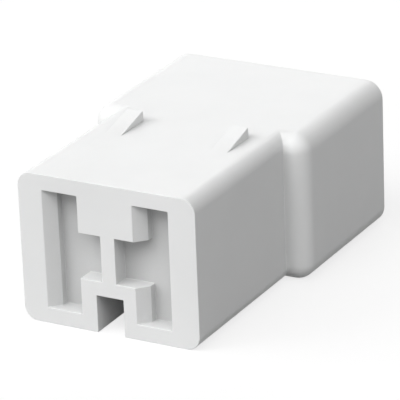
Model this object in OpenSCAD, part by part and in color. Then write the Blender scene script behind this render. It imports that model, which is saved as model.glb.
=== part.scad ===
// Two-way housing for 6.3 mm flat-blade receptacle terminals, moulded in one piece.
// The mating face looks towards -Y, the wires enter at +Y and +Z is up.
// The origin is at the middle of the underside's rectangle, so the housing stands on z = 0.

/* [Blade slots in the mating face] */
// Distance between the middles of the two slots
slot_pitch = 6.4; // [6:0.05:9]
// How far the pair of slots sits off the middle, towards -X
slot_offset = 0.1; // [0:0.05:0.3]
// Width of a slot at the mating face, across the blade
slot_w = 2.5; // [2.2:0.05:3]
// Height of a slot, along the blade's width
slot_h = 7.9; // [7:0.1:12]
// Depth of a slot, from the mating face to its floor
slot_depth = 1.2; // [1:0.05:3]
// Lead-in chamfer down the -X wall of a slot
slot_lead_in = 0.7; // [0.2:0.05:0.95]
// Height of the notch that opens a slot towards the middle web
notch_h = 3.05; // [2:0.05:4]
// Thickness of the middle web between the two notches
middle_web = 1; // [0.6:0.05:2]

/* [Walls] */
// Thickness of the front part's wall beside a slot
side_wall = 1.8; // [1.3:0.05:3]
// Thickness of the wall above and below a slot
end_wall = 1.05; // [0.8:0.05:2]

/* [Body] */
// Length of the front part, which enters the header
front_l = 11.6; // [8:0.1:20]
// Length of the rear part, behind the shoulder
rear_l = 11.45; // [6:0.05:24]
// How far the rear part stands out past the front part on each side
shoulder_step = 1.5; // [0.6:0.05:3]
// Radius of the front part's long edges
front_edge_r = 0.95; // [0.3:0.05:1.2]
// Radius of the rear part's long edges and of its shoulder
rear_edge_r = 1.2; // [0.3:0.05:2]

/* [Terminal chambers] */
// Thickness of the partition between a slot's floor and the chamber behind it
partition = 1.2; // [0.6:0.05:3]
// Width of a chamber, across the terminal
chamber_w = 3; // [2.6:0.05:3.4]
// Lead-in chamfer round a chamber's mouth at the rear
chamber_lead_in = 0.35; // [0.1:0.05:0.4]

/* [Keyway in the underside] */
// Width of the keyway
keyway_w = 1.9; // [1:0.05:2.4]
// Height of the keyway
keyway_h = 2.5; // [1:0.05:2.6]

/* [Locking ramps] */
// Distance from the middle of a ramp to the front part's side
ramp_inset = 2.45; // [2:0.05:4]
// Width of a ramp
ramp_w = 1.15; // [0.6:0.05:2]
// Length of a ramp, from its toe to its latching face
ramp_l = 2.85; // [1.5:0.05:5]
// Height of a ramp's latching face
ramp_h = 0.7; // [0.4:0.05:1.5]
// Distance from a latching face to the shoulder
ramp_setback = 1; // [0.5:0.05:3]

/* [Hidden] */
$fn = 64;

// how far a cut runs past the surface that it opens
past = 1;
// how deep a ramp's root reaches into the top wall
ramp_root = 0.3;

housing_h = slot_h + 2 * end_wall;
front_w = slot_pitch + slot_w + 2 * side_wall;
rear_w = front_w + 2 * shoulder_step;
housing_l = front_l + rear_l;
mid_h = housing_h / 2;
chamber_start = slot_depth + partition;

// outline of a block seen along its length, standing on z = 0, with rounded corners
module rounded_outline(w, h, r) {
    translate([-w / 2 + r, 0])
        square([w - 2 * r, h]);
    translate([-w / 2, r])
        square([w, h - 2 * r]);
    for (x = [-1, 1] * (w / 2 - r), z = [r, h - r])
        translate([x, z])
            circle(r);
}

// block from y = 0 to y = l whose long edges are rounded
module rounded_bar(w, l, h, r) {
    translate([0, l, 0])
        rotate([90, 0, 0])
            linear_extrude(l)
                rounded_outline(w, h, r);
}

// block from y = 0 to y = l whose long edges and front edges are rounded
module rounded_block(w, l, h, r) {
    translate([0, r, 0])
        rounded_bar(w, l - r, h, r);
    translate([-w / 2 + r, 0, r])
        cube([w - 2 * r, 2 * r, h - 2 * r]);
    for (x = [-1, 1] * (w / 2 - r))
        translate([x, r, r])
            cylinder(h = h - 2 * r, r = r);
    for (z = [r, h - r])
        translate([-w / 2 + r, r, z])
            rotate([0, 90, 0])
                cylinder(h = w - 2 * r, r = r);
    for (x = [-1, 1] * (w / 2 - r), z = [r, h - r])
        translate([x, r, z])
            sphere(r);
}

// the front part runs on into the rear one, so that the top and the underside stay flush
module body() {
    rounded_bar(front_w, front_l + 2 * rear_edge_r, housing_h, front_edge_r);
    translate([0, front_l, 0])
        rounded_block(rear_w, rear_l, housing_h, rear_edge_r);
}

// x of the middle of a slot and of the chamber behind it, on side -1 or 1
function slot_x(side) = side * slot_pitch / 2 - slot_offset;

// notch from the middle web to the middle of the slot on that side, between two depths
module notch(side, from_y, to_y) {
    inner = side * middle_web / 2;
    translate([min(inner, slot_x(side)), from_y, mid_h - notch_h / 2])
        cube([abs(slot_x(side) - inner), to_y - from_y, notch_h]);
}

// tall slot for the blade: both slots have their lead-in on the -X wall,
// as both receptacles sit the same way round
module blade_slot(side) {
    translate([slot_x(side), 0, mid_h - slot_h / 2])
        linear_extrude(slot_h)
            polygon([
                [-slot_w / 2 - past, -past], [slot_w / 2, -past],
                [slot_w / 2, slot_depth], [-slot_w / 2 + slot_lead_in, slot_depth],
                [-slot_w / 2 + slot_lead_in, slot_lead_in]
            ]);
    notch(side, -past, slot_depth);
}

// outline of a pocket that opens at y = 0 and narrows by lead_in on both sides of its mouth
module flared_profile(w, depth, lead_in) {
    narrow = w / 2 - lead_in;
    polygon([
        [-w / 2 - past, -past], [w / 2 + past, -past],
        [narrow, lead_in], [narrow, depth],
        [-narrow, depth], [-narrow, lead_in]
    ]);
}

// blind pocket that opens at y = 0 towards -Y, with a lead-in all round its mouth
module flared_pocket(w, h, depth, lead_in) {
    mouth_w = w + 2 * lead_in;
    mouth_h = h + 2 * lead_in;
    intersection() {
        translate([0, 0, -mouth_h / 2 - past])
            linear_extrude(mouth_h + 2 * past)
                flared_profile(mouth_w, depth, lead_in);
        translate([-mouth_w / 2 - past, 0, 0])
            rotate([90, 0, 90])
                linear_extrude(mouth_w + 2 * past)
                    rotate(-90)
                        flared_profile(mouth_h, depth, lead_in);
    }
}

// terminal chamber, open at the rear and closed by the partition, with the same notch
module chamber(side) {
    translate([slot_x(side), housing_l, mid_h])
        rotate([0, 0, 180])
            flared_pocket(chamber_w, slot_h, housing_l - chamber_start, chamber_lead_in);
    notch(side, chamber_start, housing_l + past);
}

// groove along the underside of the front part, up to the shoulder
module keyway() {
    translate([-keyway_w / 2, -past, -past])
        cube([keyway_w, front_l + past, keyway_h + past]);
}

// wedge on the top wall: its toe looks forward and its latching face looks back
module locking_ramp() {
    heel = front_l - ramp_setback;
    translate([front_w / 2 - ramp_inset - ramp_w / 2, heel, housing_h])
        rotate([90, 0, 90])
            linear_extrude(ramp_w)
                polygon([[-ramp_l, -ramp_root], [0, -ramp_root], [0, ramp_h], [-ramp_l, 0]]);
}

module housing() {
    color([0.93, 0.93, 0.92])
        translate([0, -housing_l / 2, 0]) {
            difference() {
                body();
                keyway();
                for (side = [-1, 1]) {
                    blade_slot(side);
                    chamber(side);
                }
            }
            for (side = [0, 1])
                mirror([side, 0, 0])
                    locking_ramp();
        }
}

housing();
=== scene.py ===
import math

import bmesh
import bpy
from mathutils import Matrix, Vector


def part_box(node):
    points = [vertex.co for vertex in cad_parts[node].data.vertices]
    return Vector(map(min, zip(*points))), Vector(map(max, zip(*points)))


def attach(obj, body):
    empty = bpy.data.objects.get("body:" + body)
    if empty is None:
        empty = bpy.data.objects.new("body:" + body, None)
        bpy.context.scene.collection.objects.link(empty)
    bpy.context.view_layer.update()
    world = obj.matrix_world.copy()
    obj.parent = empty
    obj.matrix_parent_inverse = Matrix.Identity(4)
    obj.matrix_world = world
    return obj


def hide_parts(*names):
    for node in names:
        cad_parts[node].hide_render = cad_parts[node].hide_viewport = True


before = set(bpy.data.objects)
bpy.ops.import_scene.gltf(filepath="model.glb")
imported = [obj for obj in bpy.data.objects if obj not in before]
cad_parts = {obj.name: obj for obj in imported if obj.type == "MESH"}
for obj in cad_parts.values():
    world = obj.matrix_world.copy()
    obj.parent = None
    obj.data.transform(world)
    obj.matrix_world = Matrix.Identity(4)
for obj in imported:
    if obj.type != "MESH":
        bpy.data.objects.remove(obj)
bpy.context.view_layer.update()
lowCorner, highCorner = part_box("housing")
print("housing loaded, size in mm:", [round(v * 1000, 2) for v in highCorner - lowCorner])


moulding = {
    "mergeDistance": 0.000002,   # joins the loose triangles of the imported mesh
    "flatAngle": 0.5,            # degrees: triangles flatter than this become one face
    "sharpAngle": 28,            # degrees: edges sharper than this are broken
    "edgeBreak": 0.00003,        # width of a broken edge
    "edgeSteps": 3,              # faces across a broken edge
    "evenWeight": 100,           # how far the large faces rule the shading: 50 is neutral
}


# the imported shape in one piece, with its sharp edges broken
def makeHousing(values):
    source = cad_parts["housing"]
    mesh = source.data.copy()
    mesh.name = "mouldedHousing"
    mesh.materials.clear()
    work = bmesh.new()
    work.from_mesh(mesh)
    bmesh.ops.remove_doubles(work, verts=work.verts, dist=values["mergeDistance"])
    bmesh.ops.dissolve_limit(
        work, angle_limit=math.radians(values["flatAngle"]),
        verts=work.verts, edges=work.edges,
    )
    work.to_mesh(mesh)
    work.free()
    piece = bpy.data.objects.new("mouldedHousing", mesh)
    bpy.context.scene.collection.objects.link(piece)

    sharp = math.radians(values["sharpAngle"])
    mesh.shade_smooth()
    mesh.set_sharp_from_angle(angle=sharp)
    edge = piece.modifiers.new("broken edges", "BEVEL")
    edge.limit_method = "ANGLE"
    edge.angle_limit = sharp
    edge.width = values["edgeBreak"]
    edge.segments = values["edgeSteps"]
    edge.use_clamp_overlap = True
    edge.miter_outer = "MITER_ARC"
    even = piece.modifiers.new("even shading", "WEIGHTED_NORMAL")
    even.keep_sharp = True
    even.weight = values["evenWeight"]
    return piece


def mathNode(tree, operation, place, *terms):
    node = tree.nodes.new("ShaderNodeMath")
    node.operation = operation
    node.location = place
    for socket, term in zip(node.inputs, terms):
        if isinstance(term, (int, float)):
            socket.default_value = term
        else:
            tree.links.new(term, socket)
    return node.outputs["Value"]


def splitNode(tree, vector, place):
    node = tree.nodes.new("ShaderNodeSeparateXYZ")
    node.location = place
    tree.links.new(vector, node.inputs["Vector"])
    return node


def rangeNode(tree, value, place, fromMin=0, fromMax=1, toMin=0, toMax=1):
    node = tree.nodes.new("ShaderNodeMapRange")
    node.location = place
    node.inputs["From Min"].default_value = fromMin
    node.inputs["From Max"].default_value = fromMax
    node.inputs["To Min"].default_value = toMin
    node.inputs["To Max"].default_value = toMax
    tree.links.new(value, node.inputs["Value"])
    return node.outputs["Result"]


def bumpNode(tree, height, depth, place):
    node = tree.nodes.new("ShaderNodeBump")
    node.location = place
    node.inputs["Strength"].default_value = 1
    node.inputs["Distance"].default_value = depth
    tree.links.new(height, node.inputs["Height"])
    return node


nylon = {
    "palest": (0.803, 0.807, 0.806, 1),
    "deepest": (0.781, 0.786, 0.785, 1),
    "tintSize": 0.0045,          # size of the faint flow clouds between the two colours
    "tintDetail": 3,
    "tintFrom": 0.3,             # where in the clouds the deepest colour starts
    "tintTo": 0.7,               # and where the palest is reached
    "hollowReach": 0.004,        # painted shade in hollows: how near a wall has to be to count as one
    "hollowRays": 4,             # rays that feel for the walls
    "hollowOpen": 0.3,           # a place this open or less is deep in a hollow
    "hollowPaintedShade": 0.75,         # and has this much of the colour left there, as painted shade
    "topFace": 0.01,             # height of the top face, which the ramps stand on
    "edgeFade": 0.00005,         # height over which that painted shade gives way above it
    "rampShade": 0.94,           # under the painted shade the ramps keep at least this much of the colour
    "slotDepth": 0.0012,         # how far the slot floors lie behind the mating face
    "slotNear": 0.0002,          # how near that depth a place on a floor has to be
    "slotFacing": -0.9,          # and how squarely it has to look forward
    "slotFloorPaintedShade": 0.86,           # painted shade on the slot floors: this much of the colour is left
    "grainSize": 0.00011,        # size of the spark-eroded mould grain
    "grainDetail": 4,
    "grainDepth": 0.000004,
    "wavesSize": 0.0028,         # size of the slight sink and flow waves
    "wavesDetail": 2,
    "wavesDepth": 0.000006,
    "noiseMix": 0.55,            # how much the finer noise counts in all three patterns
    "gloss": 0.2,                # strength of the reflections: 0.5 is the full one for ior
    "ior": 1.53,
    "roughLow": 0.5,             # the satin finish varies between these with the grain
    "roughHigh": 0.62,
    "glow": 0.05,                # share of light that soaks in
    "glowReach": 0.0006,         # how far it goes
    "glowColours": (1, 0.95, 0.85),   # red, green and blue's shares of that reach
}


def makeNylon(values):
    material = bpy.data.materials.new("naturalNylon")
    material.use_nodes = True
    tree = material.node_tree
    shader = tree.nodes["Principled BSDF"]
    shader.location = (600, 0)
    shader.inputs["Specular IOR Level"].default_value = values["gloss"]
    shader.inputs["IOR"].default_value = values["ior"]
    shader.inputs["Subsurface Weight"].default_value = values["glow"]
    shader.inputs["Subsurface Scale"].default_value = values["glowReach"]
    shader.inputs["Subsurface Radius"].default_value = values["glowColours"]
    coords = tree.nodes.new("ShaderNodeTexCoord")
    coords.location = (-1200, 0)

    def noise(size, detail, place):
        node = tree.nodes.new("ShaderNodeTexNoise")
        node.location = place
        node.inputs["Scale"].default_value = 1 / size
        node.inputs["Detail"].default_value = detail
        node.inputs["Roughness"].default_value = values["noiseMix"]
        tree.links.new(coords.outputs["Object"], node.inputs["Vector"])
        return node.outputs["Fac"]

    # faint clouds of tint, as the melt flowed
    tint = tree.nodes.new("ShaderNodeValToRGB")
    tint.location = (-600, 250)
    deepest, palest = tint.color_ramp.elements
    deepest.position = values["tintFrom"]
    deepest.color = values["deepest"]
    palest.position = values["tintTo"]
    palest.color = values["palest"]
    clouds = noise(values["tintSize"], values["tintDetail"], (-900, 250))
    tree.links.new(clouds, tint.inputs["Fac"])

    # painted shade: darker inside hollows, and hardly so on the ramps above the top face
    hollow = tree.nodes.new("ShaderNodeAmbientOcclusion")
    hollow.location = (-600, 550)
    hollow.samples = values["hollowRays"]
    hollow.only_local = True
    hollow.inputs["Distance"].default_value = values["hollowReach"]
    shade = rangeNode(
        tree, hollow.outputs["AO"], (-350, 550),
        fromMin=values["hollowOpen"], toMin=values["hollowPaintedShade"],
    )
    spot = splitNode(tree, coords.outputs["Object"], (-600, 800))
    above = rangeNode(
        tree, spot.outputs["Z"], (-350, 800), fromMin=values["topFace"],
        fromMax=values["topFace"] + values["edgeFade"], toMax=values["rampShade"],
    )
    kept = mathNode(tree, "MAXIMUM", (-100, 600), shade, above)

    # more painted shade on the slot floors: at their depth, and looking forward
    facing = splitNode(tree, coords.outputs["Normal"], (-600, 1050))
    forward = mathNode(tree, "LESS_THAN", (-350, 1050), facing.outputs["Y"], values["slotFacing"])
    floorPlace = lowCorner.y + values["slotDepth"]
    atFloor = mathNode(
        tree, "COMPARE", (-350, 1250), spot.outputs["Y"], floorPlace, values["slotNear"]
    )
    slotFloorMask = mathNode(tree, "MULTIPLY", (-100, 1050), forward, atFloor)
    slotFloorPaintedShade = mathNode(tree, "MULTIPLY_ADD", (100, 1050), slotFloorMask, values["slotFloorPaintedShade"] - 1, 1)
    # both painted shades scale the base colour
    share = mathNode(tree, "MULTIPLY", (100, 600), kept, slotFloorPaintedShade)
    paintedShadeColour = tree.nodes.new("ShaderNodeVectorMath")
    paintedShadeColour.location = (300, 350)
    paintedShadeColour.operation = "SCALE"
    tree.links.new(tint.outputs["Color"], paintedShadeColour.inputs[0])
    tree.links.new(share, paintedShadeColour.inputs["Scale"])
    tree.links.new(paintedShadeColour.outputs["Vector"], shader.inputs["Base Color"])

    # satin that varies with the mould grain, over slight waves
    grain = noise(values["grainSize"], values["grainDetail"], (-900, -50))
    satin = rangeNode(
        tree, grain, (-600, -50), toMin=values["roughLow"], toMax=values["roughHigh"]
    )
    tree.links.new(satin, shader.inputs["Roughness"])
    waves = noise(values["wavesSize"], values["wavesDetail"], (-900, -350))
    waveBump = bumpNode(tree, waves, values["wavesDepth"], (-300, -350))
    grainBump = bumpNode(tree, grain, values["grainDepth"], (0, -350))
    tree.links.new(waveBump.outputs["Normal"], grainBump.inputs["Normal"])
    tree.links.new(grainBump.outputs["Normal"], shader.inputs["Normal"])
    return material


housing = makeHousing(moulding)
housing.data.materials.append(makeNylon(nylon))
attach(housing, "root")
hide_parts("housing")
print("housing dressed")


# the rays that meet plain white: the camera's own, and those of gloss and glass
def whiteRays(tree):
    path = tree.nodes.new("ShaderNodeLightPath")
    path.location = (-600, 200)
    seen = mathNode(
        tree, "MAXIMUM", (-400, 200),
        path.outputs["Is Camera Ray"], path.outputs["Is Glossy Ray"],
    )
    return mathNode(tree, "MAXIMUM", (-200, 200), seen, path.outputs["Is Transmission Ray"])


ground = {
    "halfSize": 1.5,                   # metres from its middle to its sides
    "colour": (0.25, 0.25, 0.25, 1),   # what the object's light meets
    "seenColour": (1, 1, 1, 1),        # what the camera sees of it
    "seenShade": 0.25,                 # how much of the shadow the camera sees
}


def makeFloor(values):
    half = values["halfSize"]
    mesh = bpy.data.meshes.new("floor")
    mesh.from_pydata(
        [(-half, -half, 0), (half, -half, 0), (half, half, 0), (-half, half, 0)],
        [], [(0, 1, 2, 3)],
    )
    floor = bpy.data.objects.new("floor", mesh)
    bpy.context.scene.collection.objects.link(floor)
    material = bpy.data.materials.new("paleFloor")
    material.use_nodes = True
    tree = material.node_tree
    tree.nodes.clear()
    matt = tree.nodes.new("ShaderNodeBsdfDiffuse")
    matt.location = (0, 0)
    matt.inputs["Color"].default_value = values["colour"]
    seenMatt = tree.nodes.new("ShaderNodeBsdfDiffuse")
    seenMatt.location = (-200, -300)
    seenMatt.inputs["Color"].default_value = values["seenColour"]
    white = tree.nodes.new("ShaderNodeEmission")
    white.location = (-200, -150)
    white.inputs["Color"].default_value = values["seenColour"]
    white.inputs["Strength"].default_value = 1
    seen = tree.nodes.new("ShaderNodeMixShader")
    seen.location = (0, -200)
    seen.inputs["Fac"].default_value = values["seenShade"]
    tree.links.new(white.outputs["Emission"], seen.inputs[1])
    tree.links.new(seenMatt.outputs["BSDF"], seen.inputs[2])
    both = tree.nodes.new("ShaderNodeMixShader")
    both.location = (200, 0)
    tree.links.new(whiteRays(tree), both.inputs["Fac"])
    tree.links.new(matt.outputs["BSDF"], both.inputs[1])
    tree.links.new(seen.outputs["Shader"], both.inputs[2])
    out = tree.nodes.new("ShaderNodeOutputMaterial")
    out.location = (400, 0)
    tree.links.new(both.outputs["Shader"], out.inputs["Surface"])
    mesh.materials.append(material)
    return floor


makeFloor(ground)
print("floor laid")


studio = {
    "surround": 0.0,   # even light from all round: the lamps do without it
    # azimuth from the mating face towards +X, elevation and angle across, all in degrees,
    # and the light that the lamp gives to a surface facing it
    "lamps": {
        "window": (299, 26, 45, 0.49),
        "over left": (330, 48, 40, 0.34),
        "over right": (36, 48, 35, 0.32),
        "overhead": (0, 72, 45, 0.165),
        "low front": (0, 12, 35, 0.15),
        "side": (80, 14, 40, 0.175),
        "behind": (182, 6, 35, 0.15),
        "behind left": (208, 25, 35, 0.19),
    },
}


def towards(azimuth, elevation):
    a = math.radians(azimuth)
    e = math.radians(elevation)
    return Vector((math.sin(a) * math.cos(e), -math.cos(a) * math.cos(e), math.sin(e)))


def makeLights(values):
    world = bpy.data.worlds.new("studio")
    world.use_nodes = True
    tree = world.node_tree
    tree.nodes.clear()
    soft = tree.nodes.new("ShaderNodeBackground")
    soft.location = (0, 0)
    soft.inputs["Color"].default_value = (1, 1, 1, 1)
    soft.inputs["Strength"].default_value = values["surround"]
    white = tree.nodes.new("ShaderNodeBackground")
    white.location = (0, -200)
    white.inputs["Color"].default_value = (1, 1, 1, 1)
    both = tree.nodes.new("ShaderNodeMixShader")
    both.location = (200, 0)
    tree.links.new(whiteRays(tree), both.inputs["Fac"])
    tree.links.new(soft.outputs["Background"], both.inputs[1])
    tree.links.new(white.outputs["Background"], both.inputs[2])
    out = tree.nodes.new("ShaderNodeOutputWorld")
    out.location = (400, 0)
    tree.links.new(both.outputs["Shader"], out.inputs["Surface"])
    bpy.context.scene.world = world

    for name, (azimuth, elevation, across, level) in values["lamps"].items():
        light = bpy.data.lights.new(name, "SUN")
        light.angle = math.radians(across)
        light.energy = level * math.pi   # strength pi lights a white surface to 1
        lamp = bpy.data.objects.new(name, light)
        lamp.rotation_euler = towards(azimuth, elevation).to_track_quat("Z", "Y").to_euler()
        bpy.context.scene.collection.objects.link(lamp)


makeLights(studio)
print("lamps hung:", len(studio["lamps"]))


lookout = {
    "azimuth": 29.333,         # degrees, from the middle of the mating face towards +X
    "elevation": 22.136,
    "roll": -2.258,
    "distance": 0.201966,      # from the middle of the mating face
    "faceMiddle": 0.005,       # height of that middle
    "aimAcross": 0.005799,     # how far the view's middle lies to the right of it
    "aimUp": 0.003515,         # and above it
    "lens": 295.71,            # mm, on the sensor's width
    "sensor": 36,
    "nearest": 0.01,           # metres: the camera sees what lies between these
    "furthest": 10,
}


def makeCamera(values):
    a = math.radians(values["azimuth"])
    r = math.radians(values["roll"])
    back = towards(values["azimuth"], values["elevation"])
    level = Vector((math.cos(a), math.sin(a), 0))
    rise = back.cross(level)
    across = math.cos(r) * level + math.sin(r) * rise
    up = math.cos(r) * rise - math.sin(r) * level
    spot = Vector((0, lowCorner.y, values["faceMiddle"])) + back * values["distance"]
    spot += level * values["aimAcross"] + rise * values["aimUp"]
    lens = bpy.data.cameras.new("camera")
    lens.lens = values["lens"]
    lens.sensor_width = values["sensor"]
    lens.clip_start = values["nearest"]
    lens.clip_end = values["furthest"]
    camera = bpy.data.objects.new("camera", lens)
    camera.matrix_world = Matrix((
        (across.x, up.x, back.x, spot.x),
        (across.y, up.y, back.y, spot.y),
        (across.z, up.z, back.z, spot.z),
        (0, 0, 0, 1),
    ))
    bpy.context.scene.collection.objects.link(camera)
    bpy.context.scene.camera = camera


makeCamera(lookout)
bpy.context.scene.view_settings.view_transform = "Standard"
print("camera placed")
